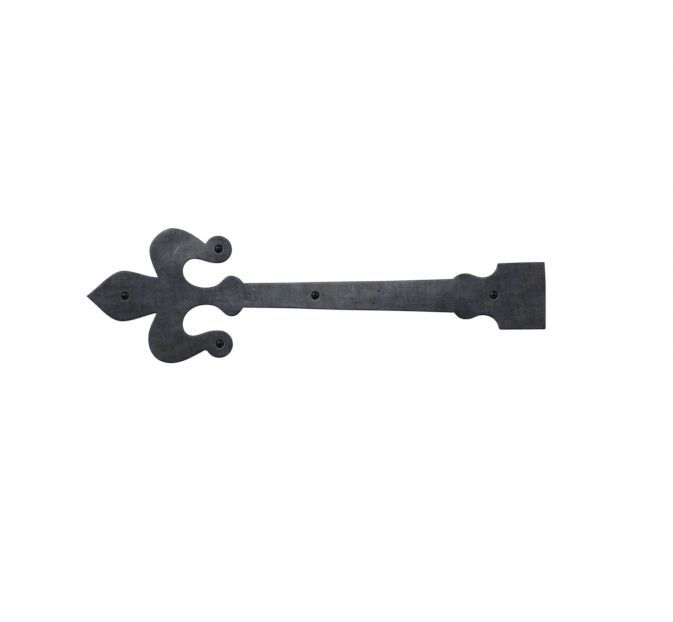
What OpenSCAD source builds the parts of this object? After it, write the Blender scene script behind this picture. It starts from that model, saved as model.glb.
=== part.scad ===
// Fleur-de-lis strap hinge front: one flat forged plate and the five screws that fix it to a door.
// It stands as it is mounted: X runs along the strap, Z is up and the back face lies on Y = 0.
// The origin is the middle of the hinge edge on the back face, and the spear points towards -X.

/* [Strap plate] */
// Overall length, from the hinge edge to the spear's tip
overall_l = 609.6; // [560:0.1:700]
// Thickness of the plate
plate_t = 4; // [3.8:0.1:6]
// Width of the strap where it leaves the knop
narrow_w = 32.8; // [28:0.1:36]
// Width of the strap where it meets the bead
wide_w = 44.8; // [38:0.1:46]

/* [Fleur] */
// Width of the fleur across its two petals
fleur_w = 179.4; // [165:0.1:195]
// Radius of each scroll's round end
scroll_r = 18.3; // [17.8:0.1:18.8]

/* [End plate] */
// Height of the end plate along the hinge edge
end_plate_h = 89.5; // [84:0.5:96]

/* [Screw holes] */
// Diameter of the hole through the plate
hole_d = 5.4; // [5.1:0.1:5.8]
// Diameter of the countersink at the front face
sink_d = 11.6; // [11:0.1:12]
// Angle across the countersink and across the screw head's cone
sink_angle = 82; // [80:1:90]

/* [Screws] */
// Length of a screw, from its rim to its point
screw_l = 31.8; // [25:0.1:45]
// Diameter of the head at its rim
head_d = 9.3; // [8.8:0.1:9.6]
// Height of the oval crown over the rim
crown_h = 1.5; // [1:0.1:2]
// Diameter of the plain shank, and of the thread over its crests
shank_d = 4.8; // [4.6:0.1:4.9]
// Diameter at the root of the thread
root_d = 3.3; // [3:0.1:3.6]
// Distance from one turn of the thread to the next
thread_pitch = 2; // [1.6:0.1:2.4]
// Width across the cross recess
recess_w = 5; // [4:0.1:5.4]

/* [Hidden] */
$fn = 48;
curve_steps = 12;
arc_step = 10;
overshoot = 1;

// The fleur's points are [distance past the strap's start, height], drawn for this width
drawn_fleur_w = 179.4;
fleur_k = fleur_w / drawn_fleur_w;
fleur_l = 208;
strap_start = overall_l - fleur_l;

// The end plate's points are [distance from the hinge edge, height], drawn for this height
drawn_end_h = 89.5;
end_k = end_plate_h / drawn_end_h;

// Each edge of the strap widens a little unevenly from the knop to the bead, as forging leaves it:
// [distance from the hinge edge, share of the widening]
upper_taper = [[345, 0.18], [260, 0.45], [217, 0.54]];
lower_taper = [[345, 0.07], [281, 0.40], [196, 0.67]];
upper_bead_start = [123.5, wide_w / 2];
lower_bead_start = [121.5, -wide_w / 2 - 0.3];

// The strap leaves the knop this far above the centre line
strap_lift = 0.4;

// The upper and the lower edge are close to mirror images, as hand forging leaves them
tip = [fleur_l, -0.5];
upper_scroll = [33, 61.3];
lower_scroll = [31.7, -64.3];

// Angles at which each scroll's round end leaves its petal and meets its bay
upper_scroll_arc = [27, 268];
lower_scroll_arc = [-30, -268];

// Where the five screws go: [distance from the hinge edge, height]
spear_hole = [strap_start + 156.7, -0.6];
upper_scroll_hole = [strap_start + 32.2, 61.7 * fleur_k];
lower_scroll_hole = [strap_start + 30.8, -64.2 * fleur_k];
middle_hole = [305.8, 0];
end_plate_hole = [69.2, 0.6];
holes = [spear_hole, upper_scroll_hole, lower_scroll_hole, middle_hole, end_plate_hole];

// The screw's rim stands this far short of the countersink, so the cones don't touch
seat_gap = 0.06;
half_angle = sink_angle / 2;
sink_depth = (sink_d - hole_d) / 2 / tan(half_angle);
rim_depth = (sink_d - head_d) / 2 / tan(half_angle) - seat_gap;
cone_l = (head_d - shank_d) / 2 / tan(half_angle);

// The thread's first groove, and the length over which the screw tapers to its point
thread_start = 12;
point_l = 6;
thread_turns = floor((screw_l - thread_start) / thread_pitch);
shank_end = thread_start - thread_pitch / 2;

// The oval crown is part of a sphere
crown_steps = 8;
crown_r = (pow(head_d / 2, 2) + pow(crown_h, 2)) / (2 * crown_h);
crown_angle = asin(head_d / 2 / crown_r);

// The cross recess: its depth below the crown, its floor and the width of one slot
recess_depth = 2.2;
recess_floor_d = 1.6;
recess_wing = 1.1;

// Points along a cubic curve from a to d with the handles b and c, without a itself
function curve(a, b, c, d) = [
    for (i = [1 : curve_steps])
        let (t = i / curve_steps, s = 1 - t)
        s * s * s * a + 3 * s * s * t * b + 3 * s * t * t * c + t * t * t * d
];

// Points along an arc between two angles, both ends included
function arc(centre, r, angles) =
    let (sweep = angles[1] - angles[0], n = ceil(abs(sweep) / arc_step))
    [for (i = [0 : n]) let (a = angles[0] + sweep * i / n) centre + r * [cos(a), sin(a)]];

// The same points with every height multiplied by k
function stretched(points, k) = [for (p = points) [p[0], p[1] * k]];

// Points given from a station on the strap, laid along -X
function placed(points, station) = [for (p = points) [-(station + p[0]), p[1]]];

// Points [distance from the hinge edge, share of the widening] as points on the upper edge
function widened(stations) = [for (p = stations) [p[0], (narrow_w + p[1] * (wide_w - narrow_w)) / 2]];

function reversed(points) = [for (i = [len(points) - 1 : -1 : 0]) points[i]];

// The spear's shoulder, the notch behind it and the petal, up to the scroll's round end
function upper_petal() = stretched(concat(
    curve(tip, [190.4, 12.6], [174.4, 33.2], [158, 33.2]),
    curve([158, 33.2], [144.4, 33.2], [128, 25], [113.2, 24.5]),
    curve([113.2, 24.5], [119, 39], [124.4, 49], [124.4, 60]),
    curve([124.4, 60], [124.4, 73.8], [107, 89.7], [94, 89.7]),
    curve([94, 89.7], [77, 89.7], [62.2, 78.4], [50.4, 69.2])
), fleur_k);

// From the scroll's inner side round the open bay and over the knop
function upper_bay() = stretched(concat(
    curve([34, upper_scroll[1] - scroll_r], [46, 42.5], [55, 48.7], [64.5, 48.7]),
    curve([64.5, 48.7], [73, 48.7], [79.8, 41.8], [79.8, 33]),
    curve([79.8, 33], [79.8, 20.8], [67, 10.9], [50, 10.9]),
    curve([50, 10.9], [26.9, 10.9], [27.9, 26.7], [16.5, 26.7]),
    curve([16.5, 26.7], [9.2, 26.7], [3, 22.3], [-0.4, (narrow_w / 2 + strap_lift) / fleur_k])
), fleur_k);

function lower_petal() = stretched(concat(
    curve(tip, [187, -19.3], [176, -34.2], [160, -34.2]),
    curve([160, -34.2], [146.8, -34.2], [130.3, -26.5], [115.2, -23.2]),
    curve([115.2, -23.2], [119.4, -34], [126, -44], [126, -57]),
    curve([126, -57], [126, -75.5], [115.3, -89.7], [95, -89.7]),
    curve([95, -89.7], [80, -89.7], [64, -79.6], [51, -72.6])
), fleur_k);

function lower_bay() = stretched(concat(
    curve([34, lower_scroll[1] + scroll_r], [48, -45.2], [57, -52.8], [67, -52.8]),
    curve([67, -52.8], [74.6, -52.8], [79.9, -45.8], [79.9, -38]),
    curve([79.9, -38], [79.9, -24.4], [67, -12.6], [50, -12.4]),
    curve([50, -12.4], [27.3, -11.6], [28.3, -27.5], [15, -27.5]),
    curve([15, -27.5], [7.4, -27.5], [3.2, -21.1], [0, (strap_lift - narrow_w / 2) / fleur_k])
), fleur_k);

// The whole fleur on each side of the centre line, from the tip to the strap's start
function upper_fleur() = concat(
    upper_petal(),
    arc([upper_scroll[0], upper_scroll[1] * fleur_k], scroll_r, upper_scroll_arc),
    upper_bay()
);

function lower_fleur() = concat(
    lower_petal(),
    arc([lower_scroll[0], lower_scroll[1] * fleur_k], scroll_r, lower_scroll_arc),
    lower_bay()
);

// The strap's widening edge, the bead, the neck, the end plate's hollowed shoulder and corners
function upper_end() = concat(
    widened(upper_taper),
    [upper_bead_start],
    curve(upper_bead_start, [118.6, 27.1], [113, 29.8], [107, 29.8]),
    curve([107, 29.8], [98, 29.8], [93, 24.5], [84, 24.5]),
    curve([84, 24.5], [74.9, 24.5], [66, 30.4], [64.5, 40.6]),
    stretched(concat(
        curve([64.5, 40.6], [64.3, 42.9], [63.7, 43.1], [61, 43.2]),
        [[30, 44.4], [10, 44.7], [1.6, 44.7], [0.5, 26], [0, 12]]
    ), end_k)
);

function lower_end() = concat(
    stretched(widened(lower_taper), -1),
    [lower_bead_start],
    curve(lower_bead_start, [116.6, -29.7], [112, -31.6], [106, -31.5]),
    curve([106, -31.5], [96, -31.5], [92.5, -26.1], [84, -26.1]),
    curve([84, -26.1], [74, -26.1], [65.3, -31.5], [63, -41]),
    stretched(concat(
        curve([63, -41], [62.4, -44.3], [61.3, -45.3], [58.5, -45.3]),
        [[30, -45.1], [1.3, -44.8], [0, -43.5]]
    ), end_k)
);

function upper_edge() = concat(placed(upper_fleur(), strap_start), placed(upper_end(), 0));
function lower_edge() = concat(placed(lower_fleur(), strap_start), placed(lower_end(), 0));
function outline() = concat(placed([tip], strap_start), upper_edge(), reversed(lower_edge()));

// A solid drawn face up on Z = 0 and stood up with its face towards -Y
module stood_up() {
    rotate([90, 0, 0]) children();
}

module at_hole(hole) {
    translate([-hole[0], hole[1], 0]) children();
}

module screw_hole() {
    translate([0, 0, -overshoot]) cylinder(d = hole_d, h = plate_t + 2 * overshoot);
    translate([0, 0, plate_t - sink_depth])
        cylinder(d1 = hole_d, d2 = sink_d, h = sink_depth);
}

module strap_plate() {
    color([0.27, 0.27, 0.30])
    stood_up() difference() {
        linear_extrude(plate_t) polygon(outline());
        for (hole = holes) at_hole(hole) screw_hole();
    }
}

// Share of a screw's full diameter left at a distance s from the rim: it falls to 0 at the point
function taper(s) = min(1, (screw_l - s) / point_l);

function crown_profile() = [
    for (i = [0 : crown_steps])
        let (a = crown_angle * i / crown_steps)
        [crown_r * sin(a), crown_h - crown_r * (1 - cos(a))]
];

// The thread is drawn as parallel ridges, one for each turn
function thread_profile() = [
    for (i = [0 : thread_turns - 1])
        let (s = thread_start + i * thread_pitch, crest = s + thread_pitch / 2)
        each [
            [root_d / 2 * taper(s), -s],
            [shank_d / 2 * taper(crest), -crest],
        ]
];

function screw_profile() = concat(
    crown_profile(),
    [[shank_d / 2, -cone_l], [shank_d / 2, -shank_end]],
    thread_profile(),
    [[0, -screw_l]]
);

// Two crossed slots that a cone narrows towards the floor
module cross_recess() {
    intersection() {
        translate([0, 0, crown_h - recess_depth])
            cylinder(d1 = recess_floor_d, d2 = recess_w, h = recess_depth);
        for (a = [0, 90]) rotate([0, 0, a])
            translate([-recess_w / 2, -recess_wing / 2, crown_h - recess_depth])
                cube([recess_w, recess_wing, recess_depth + overshoot]);
    }
}

// One oval-head wood screw in its hole, with its recess turned by an angle
module screw(hole, turned) {
    color([0.10, 0.09, 0.09])
    stood_up() at_hole(hole) translate([0, 0, plate_t - rim_depth]) rotate([0, 0, turned])
        difference() {
            rotate_extrude() polygon(screw_profile());
            cross_recess();
        }
}

module spear_screw() { screw(spear_hole, 0); }
module upper_scroll_screw() { screw(upper_scroll_hole, 30); }
module lower_scroll_screw() { screw(lower_scroll_hole, 10); }
module middle_screw() { screw(middle_hole, 45); }
module end_plate_screw() { screw(end_plate_hole, 20); }

strap_plate();
spear_screw();
upper_scroll_screw();
lower_scroll_screw();
middle_screw();
end_plate_screw();
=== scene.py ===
import math
import random

import bmesh
import bpy
import numpy as np
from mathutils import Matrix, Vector, noise
from mathutils.geometry import delaunay_2d_cdt


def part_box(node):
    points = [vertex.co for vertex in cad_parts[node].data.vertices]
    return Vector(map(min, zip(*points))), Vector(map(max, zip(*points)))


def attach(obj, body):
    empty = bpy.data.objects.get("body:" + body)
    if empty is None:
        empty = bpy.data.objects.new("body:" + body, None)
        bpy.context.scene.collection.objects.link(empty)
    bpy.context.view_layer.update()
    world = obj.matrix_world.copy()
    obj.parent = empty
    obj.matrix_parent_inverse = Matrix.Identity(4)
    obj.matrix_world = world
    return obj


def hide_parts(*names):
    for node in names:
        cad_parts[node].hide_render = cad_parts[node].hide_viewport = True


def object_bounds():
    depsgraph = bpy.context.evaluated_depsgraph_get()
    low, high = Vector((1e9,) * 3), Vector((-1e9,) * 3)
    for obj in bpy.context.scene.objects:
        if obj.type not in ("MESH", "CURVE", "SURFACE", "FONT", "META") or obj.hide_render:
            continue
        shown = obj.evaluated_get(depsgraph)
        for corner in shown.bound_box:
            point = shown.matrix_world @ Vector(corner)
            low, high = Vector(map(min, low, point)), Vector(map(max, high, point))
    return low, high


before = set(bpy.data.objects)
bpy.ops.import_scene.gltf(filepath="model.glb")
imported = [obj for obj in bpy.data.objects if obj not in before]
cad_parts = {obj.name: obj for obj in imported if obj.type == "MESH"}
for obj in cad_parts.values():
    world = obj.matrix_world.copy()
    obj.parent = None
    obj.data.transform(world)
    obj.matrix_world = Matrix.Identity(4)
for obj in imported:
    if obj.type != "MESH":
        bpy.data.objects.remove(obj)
cad_low, cad_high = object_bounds()

MM = 0.001
PLATE = "strap_plate"
SCREWS = sorted(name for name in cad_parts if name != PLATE)

# ---- The view: the object sits a little left of the middle of the picture, and a little above it
VIEW_WIDTH = 892.1 * MM
VIEW_RIGHT = 27.1 * MM
VIEW_DOWN = 20.3 * MM
LENS = 100
SENSOR = 36

# ---- The plate's surface
OUTLINE_STEP = 1.2 * MM
CLOSEST = OUTLINE_STEP * 0.45
GRID_STEP = 2.6 * MM
BACK_GRID_STEP = 6.0 * MM
CORNER_TURN = math.radians(22)
CORNER_R = 0.9 * MM
ARRIS_W = 1.25 * MM
ARRIS_SLOPE = 1.3
ARRIS_SOFTNESS = 0.3 * MM
ARRIS_VARIATION = 0.3
BACK_ARRIS_W = 0.45 * MM
ARRIS_RINGS = (0.3, 0.62, 0.85, 1.1, 1.5, 2.2)
BACK_RINGS = (0.4, 1.0)
WALL_ROWS = 3
WALL_ROUGHNESS = 0.07 * MM
HOLE_SIDES = 64
SINK_ANGLE = math.radians(82)
SINK_LIP = 0.95 * MM
BACK_LIP = 0.25 * MM

# The front is worked by hand, so it is never quite flat: (size of the waves, their height)
WAVES = ((48 * MM, 0.10 * MM), (17 * MM, 0.05 * MM), (6 * MM, 0.018 * MM))

# The larger scale pits in the face, in mm: (x, z, radius)
PITS = (
    (-221.8, 5.7, 1.15),
    (-256.4, -5.0, 0.95),
    (-251.0, -9.8, 0.85),
    (-228.7, -10.9, 0.9),
    (-261.2, 4.5, 0.8),
    (-210.7, 6.9, 0.65),
    (-168.1, 9.8, 0.75),
    (-163.3, 3.1, 0.75),
    (-232.4, 1.1, 0.65),
    (-385.3, 5.2, 0.75),
    (-573.8, -8.9, 0.75),
)
PIT_DEPTH_SHARE = 0.6
PIT_RINGS = ((0.5, 6), (1.0, 9), (1.3, 9))

# Small chips where bare metal shows, scattered evenly over the face by chance
CHIP_SEED = 11
CHIP_TRIES = 60
CHIP_MARGIN = 2.5 * MM
CHIP_STRENGTH = (0.25, 0.5)
CHIP_R = 0.5 * MM

# Scratches through the patina, in mm: (how bright, [points along the scratch])
SCRATCHES = (
    (0.70, ((-495.4, 52.9), (-490, 60.5), (-484.5, 69.1))),
    (0.45, ((-445.3, 0.1), (-441.8, 8.2), (-435, 13.7))),
    (0.90, ((-436.5, -2.6), (-435.2, -4.4))),
    (0.35, ((-420.8, 4.6), (-417.5, -8), (-413.8, -19.1))),
    (0.60, ((-390, 11.7), (-388, 9), (-384.1, 5.8))),
    (0.65, ((-389.5, 1.6), (-388.2, -2.5), (-386.5, -5.4))),
    (0.60, ((-398.4, -9), (-395.4, -6.6))),
    (0.45, ((-256.4, 16.2), (-255.9, 8.2), (-252.7, 0.8))),
    (0.35, ((-201.9, 15.4), (-197, 12), (-193.4, 6.1))),
    (0.40, ((-199.8, 16.2), (-190, 16.8), (-178.7, 17.4))),
    (0.40, ((-240.6, -16.4), (-232.6, -16.2))),
    (0.55, ((-359.5, 13.8), (-357.6, 12.4))),
    (0.30, ((-40.9, 28.8), (-38.7, 18.8))),
)
SCRATCH_HALF_WIDTH = 0.42 * MM
SCRATCH_DEPTH = 0.05 * MM
SCRATCH_STEP = 1.1 * MM

# ---- The screws, as in the CAD
CROWN_H = 1.5 * MM
SHANK_R = 2.4 * MM
ROOT_R = 1.65 * MM
THREAD_PITCH = 2.0 * MM
THREAD_START = 11.0 * MM
POINT_L = 6.0 * MM
RIM_ROUND = 0.14 * MM
RECESS_REACH = 2.9 * MM
SCREW_SIDES = 64
TURN_ROWS = 12
# How far each cross recess is turned about its screw
TURNS = {
    "spear_screw": 0,
    "upper_scroll_screw": 30,
    "lower_scroll_screw": 10,
    "middle_screw": 45,
    "end_plate_screw": 20,
}

dice = random.Random(7)


# ---------------------------------------------------------------- the plate's outline

def face_loops(mesh, y):
    """The closed loops of (x, z) points round the flat face of a mesh that lies at this y."""
    directed = set()
    for polygon in mesh.polygons:
        points = [mesh.vertices[i].co for i in polygon.vertices]
        if all(abs(p.y - y) < 1e-6 for p in points):
            keys = [(round(p.x, 6), round(p.z, 6)) for p in points]
            directed.update(zip(keys, keys[1:] + keys[:1]))
    following = {a: b for a, b in directed if (b, a) not in directed}
    loops = []
    while following:
        start, point = following.popitem()
        loop = [start]
        while point != start:
            loop.append(point)
            point = following.pop(point)
        loops.append([Vector(p) for p in loop])
    return sorted(loops, key=len, reverse=True)


def signed_area(loop):
    return sum(a.cross(b) for a, b in zip(loop, loop[1:] + loop[:1])) / 2


def circle_of(loop):
    """The centre and the radius of a loop that is a circle."""
    centre = sum(loop, Vector((0, 0))) / len(loop)
    return centre, sum((p - centre).length for p in loop) / len(loop)


def turn_at(before, point, after):
    """The signed angle by which a path turns at a point, above 0 to the left."""
    a, b = point - before, after - point
    return math.atan2(a.cross(b), a.dot(b))


def smooth_outline(points):
    """The same outline with a point about every OUTLINE_STEP on smooth curves.
    Inner corners stay sharp, and outer corners are rounded a little, as a file leaves them."""
    count = len(points)
    made = []
    for i in range(count):
        before, a, b, after = (points[(i + k) % count] for k in (-1, 0, 1, 2))
        along = b - a
        turn_a, turn_b = turn_at(before, a, b), turn_at(a, b, after)
        start = along if abs(turn_a) > CORNER_TURN else (b - before).normalized() * along.length
        end = along if abs(turn_b) > CORNER_TURN else (after - a).normalized() * along.length
        trim_a = min(CORNER_R / along.length, 1 / 3) if turn_a > CORNER_TURN else 0
        trim_b = min(CORNER_R / along.length, 1 / 3) if turn_b > CORNER_TURN else 0
        steps = max(1, round(along.length * (1 - trim_a - trim_b) / OUTLINE_STEP))
        for k in range(steps + (trim_b > 0)):
            t = trim_a + (1 - trim_a - trim_b) * k / steps
            s = 1 - t
            made.append(
                s * s * (1 + 2 * t) * a + t * t * (3 - 2 * t) * b
                + t * s * s * start - t * t * s * end
            )
        if trim_b:
            corner_from = b - along * trim_b
            onward = after - b
            corner_to = b + onward * min(CORNER_R / onward.length, 1 / 3)
            for t in (0.25, 0.5, 0.75):
                made.append((1 - t) ** 2 * corner_from + 2 * t * (1 - t) * b + t * t * corner_to)
    return made


def inward_normals(loop):
    """For each point of an anticlockwise loop, the inward directions to step along.
    There is one on a smooth stretch, and a fan of them round a sharp inner corner."""
    fans = []
    count = len(loop)
    for i in range(count):
        before, point, after = loop[i - 1], loop[i], loop[(i + 1) % count]
        a, b = (point - before).normalized(), (after - point).normalized()
        na, nb = Vector((-a.y, a.x)), Vector((-b.y, b.x))
        turn = turn_at(before, point, after)
        if turn < -CORNER_TURN:
            fans.append([na.slerp(nb, t) for t in (0, 0.25, 0.5, 0.75, 1)])
        else:
            middle = (na + nb).normalized()
            fans.append([middle / max(0.3, math.cos(turn / 2))])
    return fans


class Edge:
    """Distances from points to a closed outline."""

    def __init__(self, loop):
        self.a = np.array([tuple(p) for p in loop])
        self.along = np.roll(self.a, -1, 0) - self.a
        self.length2 = (self.along ** 2).sum(1)

    def distances(self, points):
        places = np.array([tuple(p) for p in points])
        found = []
        for chunk in np.array_split(places, max(1, len(places) // 500)):
            offset = chunk[:, None, :] - self.a[None]
            t = np.clip((offset * self.along).sum(2) / self.length2, 0, 1)
            nearest = offset - t[..., None] * self.along
            found.append(np.sqrt((nearest ** 2).sum(2).min(1)))
        return np.concatenate(found)

    def inside(self, points):
        places = np.array([tuple(p) for p in points])
        b = self.a + self.along
        result = np.zeros(len(places), bool)
        for (x0, z0), (x1, z1) in zip(self.a, b):
            if z0 != z1:
                crosses = (z0 > places[:, 1]) != (z1 > places[:, 1])
                at = x0 + (places[:, 1] - z0) * (x1 - x0) / (z1 - z0)
                result ^= crosses & (places[:, 0] < at)
        return result


class Spread:
    """A set of points that keep a least distance from each other."""

    def __init__(self, gap):
        self.gap = gap
        self.cells = {}
        self.points = []

    def cell(self, p):
        return int(p[0] // self.gap), int(p[1] // self.gap)

    def add(self, p, gap=None):
        """Adds the point unless another one is closer than the gap, and says whether it did."""
        gap = self.gap if gap is None else gap
        i, j = self.cell(p)
        near = (q for di in (-1, 0, 1) for dj in (-1, 0, 1) for q in self.cells.get((i + di, j + dj), ()))
        if any((p[0] - q[0]) ** 2 + (p[1] - q[1]) ** 2 < gap * gap for q in near):
            return False
        self.cells.setdefault((i, j), []).append((p[0], p[1]))
        self.points.append(Vector((p[0], p[1])))
        return True


# ---------------------------------------------------------------- the plate's surface

def wave(x, z, size, seed=0.0):
    """Smooth noise from -1 to 1 over the plate."""
    return noise.noise(Vector((x / size, seed, z / size)))


def arris_width(x, z):
    return ARRIS_W * (1 + ARRIS_VARIATION * wave(x, z, 14 * MM, 5.0))


def hammered_arris(distance, width):
    """How far the surface has dropped at this distance from the edge of a bevel that runs into the face."""
    reach = width - distance
    return ARRIS_SLOPE * (math.sqrt(reach * reach + ARRIS_SOFTNESS ** 2) + reach) / 2


def quarter_round(distance, radius):
    """How far the surface has dropped at this distance from the edge of a rounded arris."""
    if distance >= radius:
        return 0.0
    return radius - math.sqrt(radius * radius - (radius - distance) ** 2)


def unevenness(x, z, seed=0.0):
    """How far the worked face lies below a true plane: never above it, so it stays in the CAD box."""
    return sum(height * (0.5 + 0.5 * wave(x, z, size, seed)) for size, height in WAVES)


def pit_at(x, z):
    """How deep the face is pitted at a point, and whether the point lies on a pit's dark floor."""
    depth = 0.0
    floor = 0.0
    for px, pz, radius in PITS:
        share = math.hypot(x / MM - px, z / MM - pz) / radius
        if share < PIT_RINGS[-1][0]:
            reach = share / PIT_RINGS[-1][0]
            depth = max(depth, radius * MM * PIT_DEPTH_SHARE * (1 - reach * reach))
        if share < 1.05:
            floor = 1.0
    return depth, floor


def pit_points():
    for px, pz, radius in PITS:
        centre = Vector((px, pz)) * MM
        yield centre
        for share, sides in PIT_RINGS:
            yield from circle(centre, radius * share * MM, sides, share)


def chip_points(edge):
    """(point, how much bare metal it shows) over each chip. Tries that miss the face leave no chip."""
    rolls = random.Random(CHIP_SEED)
    low = edge.a.min(0)
    high = edge.a.max(0)
    centres = []
    for _ in range(CHIP_TRIES):
        centres.append(Vector((rolls.uniform(low[0], high[0]), rolls.uniform(low[1], high[1]))))
    for centre, gap, ok in zip(centres, edge.distances(centres), edge.inside(centres)):
        if ok and gap > CHIP_MARGIN:
            yield centre, rolls.uniform(*CHIP_STRENGTH)
            for p in circle(centre, CHIP_R, 6):
                yield p, CHIP_STRENGTH[0]
            for p in circle(centre, CHIP_R * 1.6, 8):
                yield p, 0.0


def scratch_points():
    """(point, how much of the scratch it shows) along each scratch: its middle and both sides."""
    for strength, route in SCRATCHES:
        corners = [Vector(p) * MM for p in route]
        total = sum((b - a).length for a, b in zip(corners, corners[1:]))
        walked = 0.0
        for a, b in zip(corners, corners[1:]):
            along = (b - a).normalized()
            side = Vector((-along.y, along.x)) * SCRATCH_HALF_WIDTH
            steps = max(2, round((b - a).length / SCRATCH_STEP))
            for k in range(steps):
                p = a.lerp(b, k / steps)
                share = (walked + (b - a).length * k / steps) / total
                fade = min(1.0, 4 * share + 0.15, 4 * (1 - share))
                yield p, strength * fade
                yield p + side, 0.0
                yield p - side, 0.0
            walked += (b - a).length


def circle(centre, radius, sides, start=0.0):
    angles = [start + math.tau * k / sides for k in range(sides)]
    return [centre + radius * Vector((math.cos(a), math.sin(a))) for a in angles]


def triangulate(points, loops):
    """Triangles inside the first loop and outside the others. A loop is a list of the points' indices."""
    edges = [pair for loop in loops for pair in zip(loop, loop[1:] + loop[:1])]
    result = delaunay_2d_cdt(points, edges, [], 1, 1e-9)
    source = result[3]
    holes = [set(loop) for loop in loops[1:]]
    faces = []
    for face in result[2]:
        corners = [source[i][0] for i in face]
        if not any(all(c in hole for c in corners) for hole in holes):
            faces.append(corners)
    return faces


class Skin:
    """The plate's mesh as it is built up: vertices, faces and what the material reads at each vertex."""

    def __init__(self):
        self.vertices = []
        self.faces = []
        self.edge_gap = []
        self.scratch_and_lip_highlight = []
        self.hollow_dirt_and_shade = []

    def add(self, x, y, z, edge_gap, scratch_and_lip_highlight=0.0, hollow_dirt_and_shade=0.0):
        self.vertices.append((x, y, z))
        self.edge_gap.append(edge_gap)
        self.scratch_and_lip_highlight.append(scratch_and_lip_highlight)
        self.hollow_dirt_and_shade.append(hollow_dirt_and_shade)
        return len(self.vertices) - 1

    def strip(self, lower, upper):
        """Quads between two closed rows of the same length."""
        for k in range(len(lower)):
            n = (k + 1) % len(lower)
            self.faces.append((lower[k], lower[n], upper[n], upper[k]))


def lay_points(outline, edge, holes, rings, widths):
    """The first points of one face: the outline, each hole's mouth, and rings along the bevel.
    Widths are the bevel's width at each point of the outline. Returns the loops and the points."""
    spread = Spread(CLOSEST)
    for p in outline:
        spread.add(p, 0)
    loops = [list(range(len(outline)))]
    for centre, radius in holes:
        first = len(spread.points)
        loops.append(list(range(first, first + HOLE_SIDES)))
        for p in circle(centre, radius, HOLE_SIDES):
            spread.add(p, 0)

    fans = inward_normals(outline)
    for share in rings:
        ring = []
        for p, fan, width in zip(outline, fans, widths):
            ring += [(p + n * width * share, width * share) for n in fan]
        gaps = edge.distances([p for p, _ in ring])
        for (p, wanted), gap in zip(ring, gaps):
            if gap > 0.97 * wanted:
                spread.add(p, min(CLOSEST, max(0.12 * MM, 0.5 * wanted)))
    return loops, spread


def clear_of_holes(p, holes, gap):
    return all((p - centre).length > radius + gap for centre, radius in holes)


def fill(spread, edge, holes, step, margin):
    """Adds rings round the holes and a jittered lattice over the rest of the face."""
    for centre, radius in holes:
        for gap, sides in ((0.5 * MM, 48), (1.2 * MM, 36), (2.4 * MM, 28)):
            for p in circle(centre, radius + gap, sides, gap / MM):
                spread.add(p)
    low = edge.a.min(0)
    high = edge.a.max(0)
    lattice = []
    row_step = step * math.sqrt(3) / 2
    for j in range(int((high[1] - low[1]) / row_step) + 1):
        for i in range(int((high[0] - low[0]) / step) + 1):
            shift = step / 2 if j % 2 else 0
            jitter = Vector((dice.uniform(-1, 1), dice.uniform(-1, 1))) * step * 0.2
            lattice.append(Vector((low[0] + i * step + shift, low[1] + j * row_step)) + jitter)
    gaps = edge.distances(lattice)
    within = edge.inside(lattice)
    for p, gap, ok in zip(lattice, gaps, within):
        if ok and gap > margin and clear_of_holes(p, holes, 3.2 * MM):
            spread.add(p)


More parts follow.
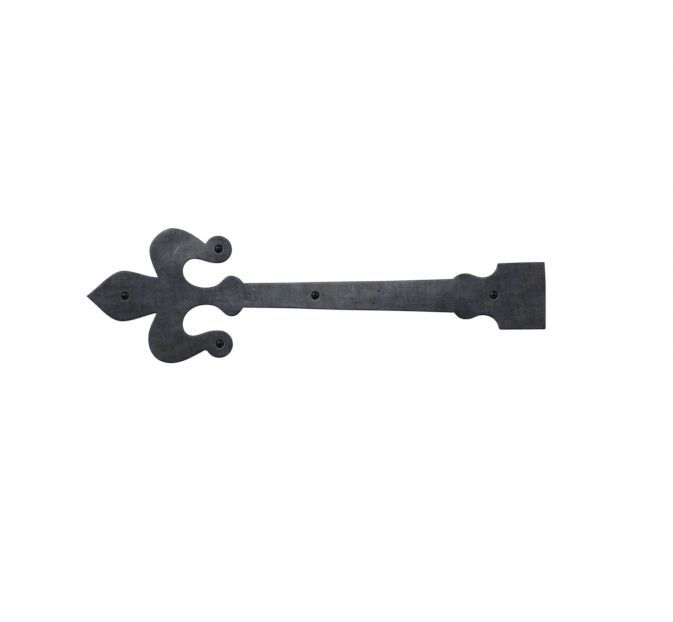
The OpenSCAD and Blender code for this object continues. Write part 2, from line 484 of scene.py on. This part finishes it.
def build_plate():
    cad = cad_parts[PLATE].data
    low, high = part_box(PLATE)
    front_y, back_y = low.y, high.y
    front_loops = face_loops(cad, front_y)
    outline = front_loops[0]
    if signed_area(outline) < 0:
        outline.reverse()
    outline = smooth_outline(outline)
    for p in outline:
        p.x = min(max(p.x, low.x), high.x)
        p.y = min(max(p.y, low.z), high.z)
    edge = Edge(outline)

    sinks = [circle_of(loop) for loop in front_loops[1:]]
    bore_r = circle_of(face_loops(cad, back_y)[1])[1]
    sink_r = sinks[0][1]
    sink_depth = (sink_r - bore_r) / math.tan(SINK_ANGLE / 2)
    mouths = [(centre, sink_r + SINK_LIP) for centre, _ in sinks]
    back_mouths = [(centre, bore_r + BACK_LIP) for centre, _ in sinks]

    skin = Skin()

    # The front face
    widths = [arris_width(p.x, p.y) for p in outline]
    loops, spread = lay_points(outline, edge, mouths, ARRIS_RINGS, widths)
    scratch_of = {}
    for p, strength in (*scratch_points(), *chip_points(edge)):
        if clear_of_holes(p, mouths, 0.5 * MM) and spread.add(p, 0.2 * MM):
            scratch_of[len(spread.points) - 1] = strength
    for p in pit_points():
        spread.add(p, 0.15 * MM)
    fill(spread, edge, mouths, GRID_STEP, ARRIS_W * 2.2 + 0.8 * MM)
    points = spread.points
    gaps = edge.distances(points)
    front = []
    for k, (p, gap) in enumerate(zip(points, gaps)):
        scratch_and_lip_highlight = scratch_of.get(k, 0.0)
        pit, dark = pit_at(p.x, p.y)
        y = front_y + unevenness(p.x, p.y) + pit
        y += hammered_arris(float(gap), arris_width(p.x, p.y)) + SCRATCH_DEPTH * scratch_and_lip_highlight
        front.append(skin.add(p.x, y, p.y, float(gap), scratch_and_lip_highlight, dark))
    for a, b, c in triangulate(points, loops):
        skin.faces.append((front[a], front[b], front[c]))
    front_rim = [front[i] for i in loops[0]]
    front_mouths = [[front[i] for i in loop] for loop in loops[1:]]

    # The back face
    widths = [BACK_ARRIS_W] * len(outline)
    loops, spread = lay_points(outline, edge, back_mouths, BACK_RINGS, widths)
    fill(spread, edge, back_mouths, BACK_GRID_STEP, BACK_ARRIS_W + 2 * MM)
    points = spread.points
    gaps = edge.distances(points)
    back = []
    for p, gap in zip(points, gaps):
        y = back_y - unevenness(p.x, p.y, 40.0) - quarter_round(float(gap), BACK_ARRIS_W)
        back.append(skin.add(p.x, y, p.y, float(gap)))
    for a, b, c in triangulate(points, loops):
        skin.faces.append((back[c], back[b], back[a]))
    back_rim = [back[i] for i in loops[0]]
    back_mouth_rows = [[back[i] for i in loop] for loop in loops[1:]]

    # The walls between them, filed by hand
    fans = inward_normals(outline)
    row = back_rim
    for k in range(1, WALL_ROWS + 1):
        t = k / (WALL_ROWS + 1)
        upper = []
        for p, fan, i_back, i_front in zip(outline, fans, back_rim, front_rim):
            inward = fan[len(fan) // 2].normalized()
            y = skin.vertices[i_back][1] * (1 - t) + skin.vertices[i_front][1] * t
            rough = noise.noise(Vector((p.x, y * 2.0, p.y)) / (2.5 * MM))
            q = p + inward * WALL_ROUGHNESS * (0.5 + 0.5 * rough)
            upper.append(skin.add(q.x, y, q.y, 0.0))
        skin.strip(row, upper)
        row = upper
    skin.strip(row, front_rim)

    # The countersunk holes: each lip is made lighter, partly wear and partly a painted highlight, and each
    # cone darker, partly dirt and partly painted shade
    for (centre, _), mouth, back_mouth in zip(sinks, front_mouths, back_mouth_rows):
        row = mouth
        for radius, depth, wear_and_highlight, dark in (
            (sink_r + SINK_LIP * 0.66, 0.14 * MM, 0.32, 0.0),
            (sink_r + SINK_LIP * 0.28, 0.36 * MM, 0.32, 0.0),
            (sink_r, 0.60 * MM, 0.1, 0.5),
            (sink_r - 0.35 * MM, 0.35 * MM / math.tan(SINK_ANGLE / 2) + 0.5 * MM, 0.0, 1.0),
            ((sink_r + bore_r) / 2, sink_depth / 2 + 0.25 * MM, 0.0, 1.0),
            (bore_r + 0.1 * MM, sink_depth + 0.05 * MM, 0.0, 1.0),
            (bore_r, sink_depth + 0.15 * MM, 0.0, 1.0),
        ):
            inner = [
                skin.add(p.x, front_y + depth, p.y, 9 * MM, wear_and_highlight, dark)
                for p in circle(centre, radius, HOLE_SIDES)
            ]
            skin.strip(inner, row)
            row = inner
        skin.strip(back_mouth, row)
    return skin


def make_object(name, vertices, faces, sharp_angle):
    """An object with clean outward faces, smooth except where it turns more than the angle."""
    mesh = bpy.data.meshes.new(name)
    mesh.from_pydata(vertices, [], faces)
    shell = bmesh.new()
    shell.from_mesh(mesh)
    bmesh.ops.recalc_face_normals(shell, faces=shell.faces)
    shell.to_mesh(mesh)
    shell.free()
    mesh.polygons.foreach_set("use_smooth", [True] * len(mesh.polygons))
    mesh.set_sharp_from_angle(angle=sharp_angle)
    piece = bpy.data.objects.new(name, mesh)
    bpy.context.scene.collection.objects.link(piece)
    return piece


# ---------------------------------------------------------------- the screws

def thread_radius(s, phase, length):
    """The screw's radius at the distance s from its rim, where phase runs 0 to 1 over one turn of thread."""
    taper = min(1.0, max(0.0, (length - s) / POINT_L)) ** 0.8
    rise = min(1.0, max(0.0, (s - THREAD_START) / (1.5 * THREAD_PITCH)))
    ridge = max(0.0, 1 - abs(phase - 0.5) / 0.32) ** 0.9
    root = SHANK_R + (ROOT_R - SHANK_R) * rise
    return (root + (SHANK_R - root) * ridge) * taper


def head_profile(head_r):
    """(radius, distance behind the rim) from the crown's top down the cone to the thread's start."""
    sphere_r = (head_r ** 2 + CROWN_H ** 2) / (2 * CROWN_H)
    reach = math.asin(head_r / sphere_r)
    profile = []
    for k in range(1, 15):
        a = reach * k / 14 * 0.97
        profile.append((sphere_r * math.sin(a), sphere_r * (1 - math.cos(a)) - CROWN_H))
    cone = math.tan(SINK_ANGLE / 2)
    for k in range(5):
        a = math.radians(40 - 90 * k / 4)
        profile.append((head_r - RIM_ROUND * (1 - math.cos(a)), -RIM_ROUND * math.sin(a) + 0.1 * MM))
    cone_l = (head_r - SHANK_R) / cone
    for share in (0.25, 0.5, 0.75, 0.93):
        profile.append((head_r - (head_r - SHANK_R) * share, cone_l * share + 0.1 * MM))
    profile.append((SHANK_R, cone_l + 0.5 * MM))
    for share in (0.35, 0.7, 1.0):
        profile.append((SHANK_R, cone_l + 0.5 * MM + (THREAD_START - cone_l - 0.5 * MM) * share))
    return profile


def screw_shell(head_r, length):
    """Vertices and faces of the whole screw about its own axis: the rim at y = 0, the point at y = length."""
    vertices = [(0, -CROWN_H, 0)]
    faces = []

    def ring(radius, y):
        first = len(vertices)
        for j in range(SCREW_SIDES):
            a = math.tau * j / SCREW_SIDES
            vertices.append((radius * math.cos(a), y, radius * math.sin(a)))
        return list(range(first, first + SCREW_SIDES))

    rows = [ring(radius, y) for radius, y in head_profile(head_r)]
    for j in range(SCREW_SIDES):
        faces.append((0, rows[0][j], rows[0][(j + 1) % SCREW_SIDES]))
    for lower, upper in zip(rows, rows[1:]):
        for j in range(SCREW_SIDES):
            n = (j + 1) % SCREW_SIDES
            faces.append((lower[j], lower[n], upper[n], upper[j]))

    # Each row of the thread climbs one pitch in a turn, so that the ridge stays true all the way round
    turns = math.ceil((length - THREAD_START) / THREAD_PITCH) + 1
    total = turns * TURN_ROWS

    def thread_vertex(k, j):
        s = THREAD_START + THREAD_PITCH * (k / TURN_ROWS + j / SCREW_SIDES - 1)
        s = min(max(s, THREAD_START), length)
        phase = (k % TURN_ROWS) / TURN_ROWS
        radius = thread_radius(s, phase, length) if s > THREAD_START else SHANK_R
        a = math.tau * j / SCREW_SIDES
        return radius * math.cos(a), s, radius * math.sin(a)

    first = len(vertices)
    for k in range(total + 1):
        for j in range(SCREW_SIDES + 1):
            vertices.append(thread_vertex(k, j))
    across = SCREW_SIDES + 1
    for k in range(total):
        for j in range(SCREW_SIDES):
            a = first + k * across + j
            faces.append((a, a + 1, a + across + 1, a + across))
    return vertices, faces


def cross_cutter():
    """The tool that forms the cross recess: four tapered wings that meet in a blunt point."""
    levels = (
        (-CROWN_H - 0.6 * MM, 2.95 * MM, 0.78 * MM),
        (-CROWN_H + 0.35 * MM, 2.45 * MM, 0.66 * MM),
        (-CROWN_H + 1.7 * MM, 1.45 * MM, 0.48 * MM),
        (-CROWN_H + 2.2 * MM, 0.85 * MM, 0.36 * MM),
    )
    vertices = []
    faces = []
    for y, reach, half in levels:
        for quarter in range(4):
            a = math.tau * quarter / 4
            along = Vector((math.cos(a), math.sin(a)))
            side = Vector((-along.y, along.x))
            for p in (along * reach - side * half, along * reach + side * half, (along + side) * half * 1.15):
                vertices.append((p.x, y, p.y))
    sides = 12
    for level in range(len(levels) - 1):
        for j in range(sides):
            n = (j + 1) % sides
            a, b = level * sides, (level + 1) * sides
            faces.append((a + j, a + n, b + n, b + j))
    faces.append(tuple(range(sides)))
    faces.append(tuple(reversed(range(sides * (len(levels) - 1), sides * len(levels)))))
    return vertices, faces


def build_screw(name):
    low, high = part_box(name)
    head_r = (high.x - low.x) / 2
    rim_y = low.y + CROWN_H
    length = high.y - rim_y
    vertices, faces = screw_shell(head_r, length)
    piece = make_object("oval_head_" + name, vertices, faces, math.radians(38))
    shell = bmesh.new()
    shell.from_mesh(piece.data)
    bmesh.ops.remove_doubles(shell, verts=shell.verts, dist=0.004 * MM)
    bmesh.ops.dissolve_degenerate(shell, edges=shell.edges, dist=0.002 * MM)
    bmesh.ops.recalc_face_normals(shell, faces=shell.faces)
    shell.to_mesh(piece.data)
    shell.free()

    cutter = make_object("cross_cutter", *cross_cutter(), math.radians(30))
    cut = piece.modifiers.new("cross recess", "BOOLEAN")
    cut.operation = "DIFFERENCE"
    cut.solver = "EXACT"
    cut.object = cutter
    finished = bpy.data.meshes.new_from_object(piece.evaluated_get(bpy.context.evaluated_depsgraph_get()))
    piece.modifiers.clear()
    piece.data = finished
    bpy.data.objects.remove(cutter)

    # How deep each corner lies under the crown: the material paints shade into the recess with this, making
    # it near black
    sphere_r = (head_r ** 2 + CROWN_H ** 2) / (2 * CROWN_H)
    crown_centre = Vector((0, sphere_r - CROWN_H, 0))
    under = []
    for v in finished.vertices:
        depth = sphere_r - (v.co - crown_centre).length
        near_recess = math.hypot(v.co.x, v.co.z) < RECESS_REACH and v.co.y < CROWN_H
        under.append(min(1.0, max(0.0, depth) / (0.4 * MM)) if near_recess else 0.0)
    finished.attributes.new("recess", "FLOAT", "POINT").data.foreach_set("value", under)

    turn = math.radians(TURNS[name])
    centre = (low + high) / 2
    for v in finished.vertices:
        x, y, z = v.co
        v.co = (
            centre.x + x * math.cos(turn) - z * math.sin(turn),
            rim_y + y,
            centre.z + x * math.sin(turn) + z * math.cos(turn),
        )
    finished.polygons.foreach_set("use_smooth", [True] * len(finished.polygons))
    finished.set_sharp_from_angle(angle=math.radians(38))
    return piece


# ---------------------------------------------------------------- materials

class Tree:
    """Short words for a material's node tree. A socket may be given a number, a tuple or another socket."""

    def __init__(self, name):
        self.material = bpy.data.materials.new(name)
        self.material.use_nodes = True
        self.tree = self.material.node_tree
        self.tree.nodes.clear()
        self.place = self.node("ShaderNodeTexCoord").outputs["Object"]

    def node(self, kind, **settings):
        made = self.tree.nodes.new(kind)
        for key, value in settings.items():
            setattr(made, key, value)
        return made

    def put(self, socket, value):
        if isinstance(value, bpy.types.NodeSocket):
            self.tree.links.new(value, socket)
        elif isinstance(value, tuple) and len(value) == 3 and socket.type == "RGBA":
            socket.default_value = (*value, 1)
        else:
            socket.default_value = value

    def math(self, operation, a, b=0.0, clamp=False):
        made = self.node("ShaderNodeMath", operation=operation, use_clamp=clamp)
        self.put(made.inputs[0], a)
        self.put(made.inputs[1], b)
        return made.outputs[0]

    def total(self, *values):
        result = values[0]
        for value in values[1:]:
            result = self.math("ADD", result, value)
        return result

    def ramp(self, value, low, high, start=0.0, end=1.0, smooth=True):
        """Start below low, end above high, and a smooth change between them."""
        made = self.node("ShaderNodeMapRange", interpolation_type="SMOOTHSTEP" if smooth else "LINEAR")
        for socket, given in zip(made.inputs[:5], (value, low, high, start, end)):
            self.put(socket, given)
        return made.outputs[0]

    def mix(self, share, a, b, blend="MIX"):
        made = self.node("ShaderNodeMix", data_type="RGBA", blend_type=blend)
        self.put(made.inputs["Factor"], share)
        self.put(made.inputs[6], a)
        self.put(made.inputs[7], b)
        return made.outputs[2]

    def noise(self, per_metre, detail=4.0, roughness=0.55, stretch=None, turn=0.0, distortion=0.0):
        """Noise with this many features in a metre, stretched and turned in the plate's face if asked."""
        vector = self.place
        if stretch:
            turned = self.node("ShaderNodeMapping")
            self.put(turned.inputs["Vector"], self.place)
            turned.inputs["Rotation"].default_value = (0, turn, 0)
            scaled = self.node("ShaderNodeMapping")
            self.put(scaled.inputs["Vector"], turned.outputs[0])
            scaled.inputs["Scale"].default_value = stretch
            vector = scaled.outputs[0]
        made = self.node("ShaderNodeTexNoise")
        self.put(made.inputs["Vector"], vector)
        made.inputs["Scale"].default_value = per_metre
        made.inputs["Detail"].default_value = detail
        made.inputs["Roughness"].default_value = roughness
        made.inputs["Distortion"].default_value = distortion
        return made.outputs["Fac"]

    def scaled(self, colour, amount):
        """A colour multiplied by a number."""
        made = self.node("ShaderNodeVectorMath", operation="SCALE")
        self.put(made.inputs[0], colour)
        self.put(made.inputs["Scale"], amount)
        return made.outputs[0]

    def patch(self, x, z, across, up, turn=0.0):
        """A soft oval patch on the plate, 1 in its middle and 0 at its edge. Sizes are in mm."""
        placed = self.node("ShaderNodeMapping", vector_type="TEXTURE")
        self.put(placed.inputs["Vector"], self.place)
        placed.inputs["Location"].default_value = (x * MM, 0, z * MM)
        placed.inputs["Rotation"].default_value = (0, -math.radians(turn), 0)
        placed.inputs["Scale"].default_value = (across * MM, 1, up * MM)
        fade = self.node("ShaderNodeTexGradient", gradient_type="SPHERICAL")
        self.put(fade.inputs["Vector"], placed.outputs[0])
        return self.ramp(fade.outputs["Fac"], 0.0, 0.7)

    def patches(self, chosen):
        """The sum of soft patches: (strength, x, z, across, up, turn) each."""
        return self.total(*(
            self.math("MULTIPLY", self.patch(*place), strength) for strength, *place in chosen
        ))

    def attribute(self, name):
        return self.node("ShaderNodeAttribute", attribute_name=name).outputs["Fac"]

    def bump(self, height, distance, strength=1.0, normal=None):
        made = self.node("ShaderNodeBump")
        made.inputs["Strength"].default_value = strength
        made.inputs["Distance"].default_value = distance
        self.put(made.inputs["Height"], height)
        if normal is not None:
            self.put(made.inputs["Normal"], normal)
        return made.outputs["Normal"]

    def finish(self, colour, metallic, roughness, normal, glow=0.0):
        shader = self.node("ShaderNodeBsdfPrincipled")
        shader.inputs["Emission Color"].default_value = (1, 1, 1, 1)
        shader.inputs["Emission Strength"].default_value = glow
        self.put(shader.inputs["Base Color"], colour)
        self.put(shader.inputs["Metallic"], metallic)
        self.put(shader.inputs["Roughness"], roughness)
        self.put(shader.inputs["Normal"], normal)
        out = self.node("ShaderNodeOutputMaterial")
        self.tree.links.new(shader.outputs[0], out.inputs[0])
        return self.material


# Where the plate is lighter or darker, partly patina and partly painted light and shade from the light above,
# as a share of white: (change, x, z, half width, half height, turn)
PATINA_AND_LIGHT_PATCHES = (
    (0.085, -515, 82, 46, 32, -25),
    (0.030, -482, 86, 42, 14, -10),
    (0.080, -534, 68, 16, 38, 0),
    (-0.070, -498, 72, 18, 16, 0),
    (0.062, -478, 60, 44, 36, 35),
    (0.105, -466, 60, 34, 32, 0),
    (0.042, -430, 70, 36, 26, 0),
    (0.035, -502, 40, 26, 20, 0),
    (0.028, -446, 2, 54, 24, 0),
    (0.055, -422, -9, 30, 20, 0),
    (0.036, -280, 18, 100, 12, 0),
    (0.045, -255, 4, 40, 11, 0),
    (0.045, -168, 18, 80, 12, 4),
    (-0.034, -176, -14, 90, 16, -6),
    (0.062, -122, 10, 54, 20, 0),
    (0.030, -492, -22, 34, 22, 0),
    (0.036, -482, -42, 22, 16, 0),
    (-0.022, -506, -66, 50, 36, -20),
    (-0.020, -442, -70, 40, 26, 0),
    (-0.014, -34, -24, 60, 40, 0),
    (-0.060, -562, -25, 58, 20, 10),
)
# Where the whole strap is made lighter between the knop and the bead, partly patina and partly painted light:
# x where it starts, is full, ends and is gone
STRAP_PATINA_AND_LIGHT_SPAN = (-430, -380, -226, -108)
STRAP_PATINA_AND_LIGHT_LIFT = 0.118
# Where some of the oxide shows through warm
WARMER = (
    (0.9, -14, 24, 24, 30, 0),
    (0.7, -32, 0, 34, 26, 0),
    (0.5, -30, -38, 40, 14, 0),
    (0.6, -92, 0, 26, 20, 0),
    (0.9, -500, -72, 24, 18, 0),
    (0.3, -300, 0, 60, 20, 0),
)
BASE_TONE = 0.230
BLUED = (1.20, 1.31, 1.68)
SILVERED = (1.24, 1.31, 1.50)


def blackened_iron():
    """Forged iron with a mottled blue-black patina, warm oxide, scratches, scale pits and worn edges, with
    painted light: lighter patches and strap, painted highlights at the edges and countersink lips, and
    painted shade on down-facing bevels and in the hollows.
    """
    t = Tree("blackened_iron")
    broad = t.noise(14, 2.0)
    cloud = t.noise(62, 4.0, 0.55, distortion=0.5)
    mottle = t.noise(210, 5.0, 0.62)
    grain = t.noise(520, 3.0, 0.65)
    brushed = t.noise(24, 4.0, 0.6, stretch=(1, 1, 8), turn=0.03)
    filed = t.noise(26, 4.0, 0.6, stretch=(7, 1, 1), turn=0.12)

    # Patina and painted light: the strap is made lighter between the knop and the bead
    along = t.node("ShaderNodeSeparateXYZ")
    t.put(along.inputs[0], t.place)
    start, full, ends, gone = (x * MM for x in STRAP_PATINA_AND_LIGHT_SPAN)
    strap_patina_and_light = t.math(
        "MULTIPLY", t.ramp(along.outputs["X"], start, full), t.ramp(along.outputs["X"], ends, gone, 1.0, 0.0)
    )
    strap_patina_and_light = t.math("MULTIPLY", strap_patina_and_light, t.ramp(t.math("ABSOLUTE", along.outputs["Z"]), 0.026, 0.044, 1.0, 0.0))

    # The patches below are partly patina and partly painted light and shade
    tone = t.total(
        BASE_TONE,
        t.patches(PATINA_AND_LIGHT_PATCHES),
        t.math("MULTIPLY", strap_patina_and_light, STRAP_PATINA_AND_LIGHT_LIFT),
        t.ramp(broad, 0.3, 0.7, -0.024, 0.024, smooth=False),
        t.ramp(cloud, 0.25, 0.75, -0.050, 0.050, smooth=False),
        t.ramp(mottle, 0.25, 0.75, -0.042, 0.042, smooth=False),
        t.ramp(grain, 0.25, 0.75, -0.066, 0.066, smooth=False),
        t.ramp(brushed, 0.3, 0.7, -0.030, 0.030, smooth=False),
        t.ramp(filed, 0.3, 0.7, -0.022, 0.022, smooth=False),
    )

    # Fine hairlines in three directions, each broken up so that only short lengths show
    hairlines = []
    for turn, gate_scale in ((0.35, 60), (-0.9, 75), (1.45, 50)):
        streak = t.noise(40, 1.0, 0.4, stretch=(1, 1, 34), turn=turn)
        gate = t.noise(gate_scale, 2.0, stretch=(1, 1, 1), turn=turn)
        hairlines.append(t.math("MULTIPLY", t.ramp(streak, 0.66, 0.72), t.ramp(gate, 0.56, 0.66)))
    hair = t.math("MINIMUM", t.total(*hairlines), 1.0)

    # Tiny scale pits and tiny chips
    cells = t.node("ShaderNodeTexVoronoi", feature="F1")
    t.put(cells.inputs["Vector"], t.place)
    cells.inputs["Scale"].default_value = 210
    chance = t.node("ShaderNodeSeparateColor")
    t.put(chance.inputs[0], cells.outputs["Color"])
    distance = cells.outputs["Distance"]
    speck = t.math("MULTIPLY", t.ramp(distance, 0.12, 0.22, 1.0, 0.0), t.ramp(chance.outputs[0], 0.86, 0.9))
    chip = t.math("MULTIPLY", t.ramp(distance, 0.10, 0.22, 1.0, 0.0), t.ramp(chance.outputs[1], 0.84, 0.92))

    # The face is made a little lighter just inside the edge: partly wear, partly a painted highlight where
    # the arris begins
    gap = t.attribute("edge_gap")
    wear_and_highlight = t.math("MULTIPLY", t.ramp(gap, 0.0006, 0.0013), t.ramp(gap, 0.0018, 0.0034, 1.0, 0.0))
    wear_and_highlight = t.math("MULTIPLY", wear_and_highlight, t.ramp(t.noise(120, 4.0), 0.35, 0.65, 0.2, 1.0))
    # Scratches and chips, and the countersinks' lips made lighter, partly wear and partly a painted highlight
    scratch_and_lip_highlight = t.attribute("scratch_and_lip_highlight")

    tone = t.total(
        tone,
        t.math("MULTIPLY", wear_and_highlight, 0.055),
        t.math("MULTIPLY", hair, 0.09),
        t.math("MULTIPLY", chip, 0.20),
        t.math("MULTIPLY", scratch_and_lip_highlight, 0.55),
        t.math("MULTIPLY", speck, -0.16),
    )
    tint = t.mix(t.ramp(tone, 0.22, 0.38), BLUED, SILVERED)
    broad_hue = t.ramp(t.noise(16, 3.0), 0.3, 0.7, -0.5, 0.5)
    hue = t.math("ADD", broad_hue, t.ramp(t.noise(70, 6.0, 0.7), 0.3, 0.7))
    tint = t.mix(1.0, tint, t.mix(hue, (0.95, 1.00, 1.055), (1.05, 1.00, 0.94)), blend="MULTIPLY")
    # Countersink cones and pit floors are made darker: dirt and scale, and painted shade in these hollows
    tone = t.math("MULTIPLY", tone, t.ramp(t.attribute("hollow_dirt_and_shade"), 0.0, 1.0, 1.0, 0.30))
    # The outermost edge is made darker: partly dark oxide, partly painted shade where the arris falls away
    tone = t.math("MULTIPLY", tone, t.ramp(gap, 0.0003, 0.0009, 0.62, 1.0))

    # Painted shade: the bevels that face down are made darker, as they turn away from the light above
    facing = t.node("ShaderNodeSeparateXYZ")
    t.put(facing.inputs[0], t.node("ShaderNodeNewGeometry").outputs["Normal"])
    tone = t.math("MULTIPLY", tone, t.ramp(facing.outputs["Z"], -0.5, -0.2, 0.6, 1.0))
    colour = t.scaled(tint, t.math("POWER", t.math("MAXIMUM", tone, 0.02), 2.2))
    warmth = t.math("MULTIPLY", t.patches(WARMER), t.ramp(cloud, 0.42, 0.62))
    colour = t.mix(t.math("MINIMUM", warmth, 1.0), colour, (1.17, 1.0, 0.84), blend="MULTIPLY")

    rough = t.total(
        t.ramp(cloud, 0.3, 0.7, 0.56, 0.48, smooth=False),
        t.ramp(mottle, 0.3, 0.7, 0.05, -0.05, smooth=False),
        t.math("MULTIPLY", hair, -0.06),
    )
    height = t.total(
        t.math("MULTIPLY", mottle, 0.6),
        t.math("MULTIPLY", grain, 0.25),
        t.math("MULTIPLY", hair, -0.25),
        t.math("MULTIPLY", speck, -1.0),
    )
    return t.finish(colour, 0.15, rough, t.bump(height, 0.12 * MM, 0.6))


def black_screw():
    """Black-oxide steel, oiled: nearly black, with a soft gloss, a little lighter here and there."""
    t = Tree("black_screw")
    cloud = t.noise(500, 3.0)
    grain = t.noise(2600, 3.0)
    tone = t.total(
        t.ramp(cloud, 0.3, 0.7, 0.0, 0.6, smooth=False),
        t.ramp(grain, 0.3, 0.7, 0.0, 0.4, smooth=False),
    )
    colour = t.mix(tone, (0.010, 0.0095, 0.0095), (0.022, 0.020, 0.019))
    # Painted shade: the cross recess is made near black
    recess = t.attribute("recess")
    colour = t.mix(recess, colour, (0.003, 0.003, 0.003))
    rough = t.math("ADD", t.ramp(cloud, 0.3, 0.7, 0.24, 0.34, smooth=False), t.math("MULTIPLY", recess, 0.5))
    return t.finish(colour, 0.5, rough, t.bump(grain, 0.03 * MM, 0.4))


def pale_floor():
    t = Tree("pale_floor")
    tint = t.ramp(t.noise(3, 2.0), 0.3, 0.7, 0.88, 0.9, smooth=False)
    blank = t.node("ShaderNodeCombineColor")
    for socket in blank.inputs[:3]:
        t.put(socket, tint)
    return t.finish(blank.outputs[0], 0.0, 0.8, t.bump(t.noise(8, 2.0), 1 * MM, 0.02), glow=0.9)


# ---------------------------------------------------------------- the studio

def look_at(piece, target):
    piece.rotation_euler = (Vector(target) - piece.location).to_track_quat("-Z", "Y").to_euler()


def add_camera(front_y):
    data = bpy.data.cameras.new("camera")
    data.lens = LENS
    data.sensor_width = SENSOR
    data.clip_end = 50
    camera = bpy.data.objects.new("camera", data)
    bpy.context.scene.collection.objects.link(camera)
    middle = (cad_low + cad_high) / 2
    camera.location = (middle.x + VIEW_RIGHT, front_y - VIEW_WIDTH * LENS / SENSOR, middle.z - VIEW_DOWN)
    camera.rotation_euler = (math.radians(90), 0, 0)
    bpy.context.scene.camera = camera


def add_softbox(name, place, target, width, height, power):
    data = bpy.data.lights.new(name, "AREA")
    data.shape = "RECTANGLE"
    data.size = width
    data.size_y = height
    data.energy = power
    lamp = bpy.data.objects.new(name, data)
    bpy.context.scene.collection.objects.link(lamp)
    lamp.location = place
    look_at(lamp, target)


def white_world(above, below):
    """White behind the object, and a dimmer studio around it that lights and reflects."""
    world = bpy.data.worlds.new("studio")
    world.use_nodes = True
    bpy.context.scene.world = world
    tree = world.node_tree
    tree.nodes.clear()
    place = tree.nodes.new("ShaderNodeTexCoord")
    parts = tree.nodes.new("ShaderNodeSeparateXYZ")
    tree.links.new(place.outputs["Generated"], parts.inputs[0])
    level = tree.nodes.new("ShaderNodeMapRange")
    for socket, value in zip(level.inputs[1:5], (-1, 1, below, above)):
        socket.default_value = value
    tree.links.new(parts.outputs["Z"], level.inputs[0])
    around = tree.nodes.new("ShaderNodeBackground")
    tree.links.new(level.outputs[0], around.inputs["Strength"])
    white = tree.nodes.new("ShaderNodeBackground")
    for shader in (around, white):
        shader.inputs["Color"].default_value = (1, 1, 1, 1)
    seen = tree.nodes.new("ShaderNodeLightPath")
    either = tree.nodes.new("ShaderNodeMixShader")
    tree.links.new(seen.outputs["Is Camera Ray"], either.inputs[0])
    tree.links.new(around.outputs[0], either.inputs[1])
    tree.links.new(white.outputs[0], either.inputs[2])
    out = tree.nodes.new("ShaderNodeOutputWorld")
    tree.links.new(either.outputs[0], out.inputs[0])


def add_floor(drop, size):
    """A plain pale floor below the hinge, which hangs as it does on a door."""
    middle = (cad_low + cad_high) / 2
    z = cad_low.z - drop
    corners = [(middle.x + sx * size, sy * size, z) for sx, sy in ((-1, -1), (1, -1), (1, 1), (-1, 1))]
    floor = make_object("floor", corners, [(0, 1, 2, 3)], math.radians(30))
    floor.data.materials.append(pale_floor())
    floor.visible_diffuse = False
    floor.visible_glossy = False


# ---------------------------------------------------------------- putting it together

front_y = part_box(PLATE)[0].y
add_camera(front_y)

skin = build_plate()
plate = make_object("forged_plate", skin.vertices, skin.faces, math.radians(50))
for name, values in (("edge_gap", skin.edge_gap), ("scratch_and_lip_highlight", skin.scratch_and_lip_highlight), ("hollow_dirt_and_shade", skin.hollow_dirt_and_shade)):
    plate.data.attributes.new(name, "FLOAT", "POINT").data.foreach_set("value", values)
plate.data.materials.append(blackened_iron())
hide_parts(PLATE)
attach(plate, PLATE)

oxide = black_screw()
for name in SCREWS:
    screw = build_screw(name)
    screw.data.materials.append(oxide)
    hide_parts(name)
    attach(screw, name)

middle = (cad_low + cad_high) / 2
add_softbox("key", middle + Vector((-1.3, -1.7, 1.3)), middle, 1.4, 1.0, 26)
add_softbox("fill", middle + Vector((1.3, -1.8, 0.9)), middle, 0.6, 0.6, 5)
add_softbox("rear", middle + Vector((0.8, 2.0, 1.0)), middle, 1.6, 1.2, 26)
white_world(0.5, 0.05)
add_floor(0.36, 12)
bpy.context.scene.view_settings.view_transform = "Standard"
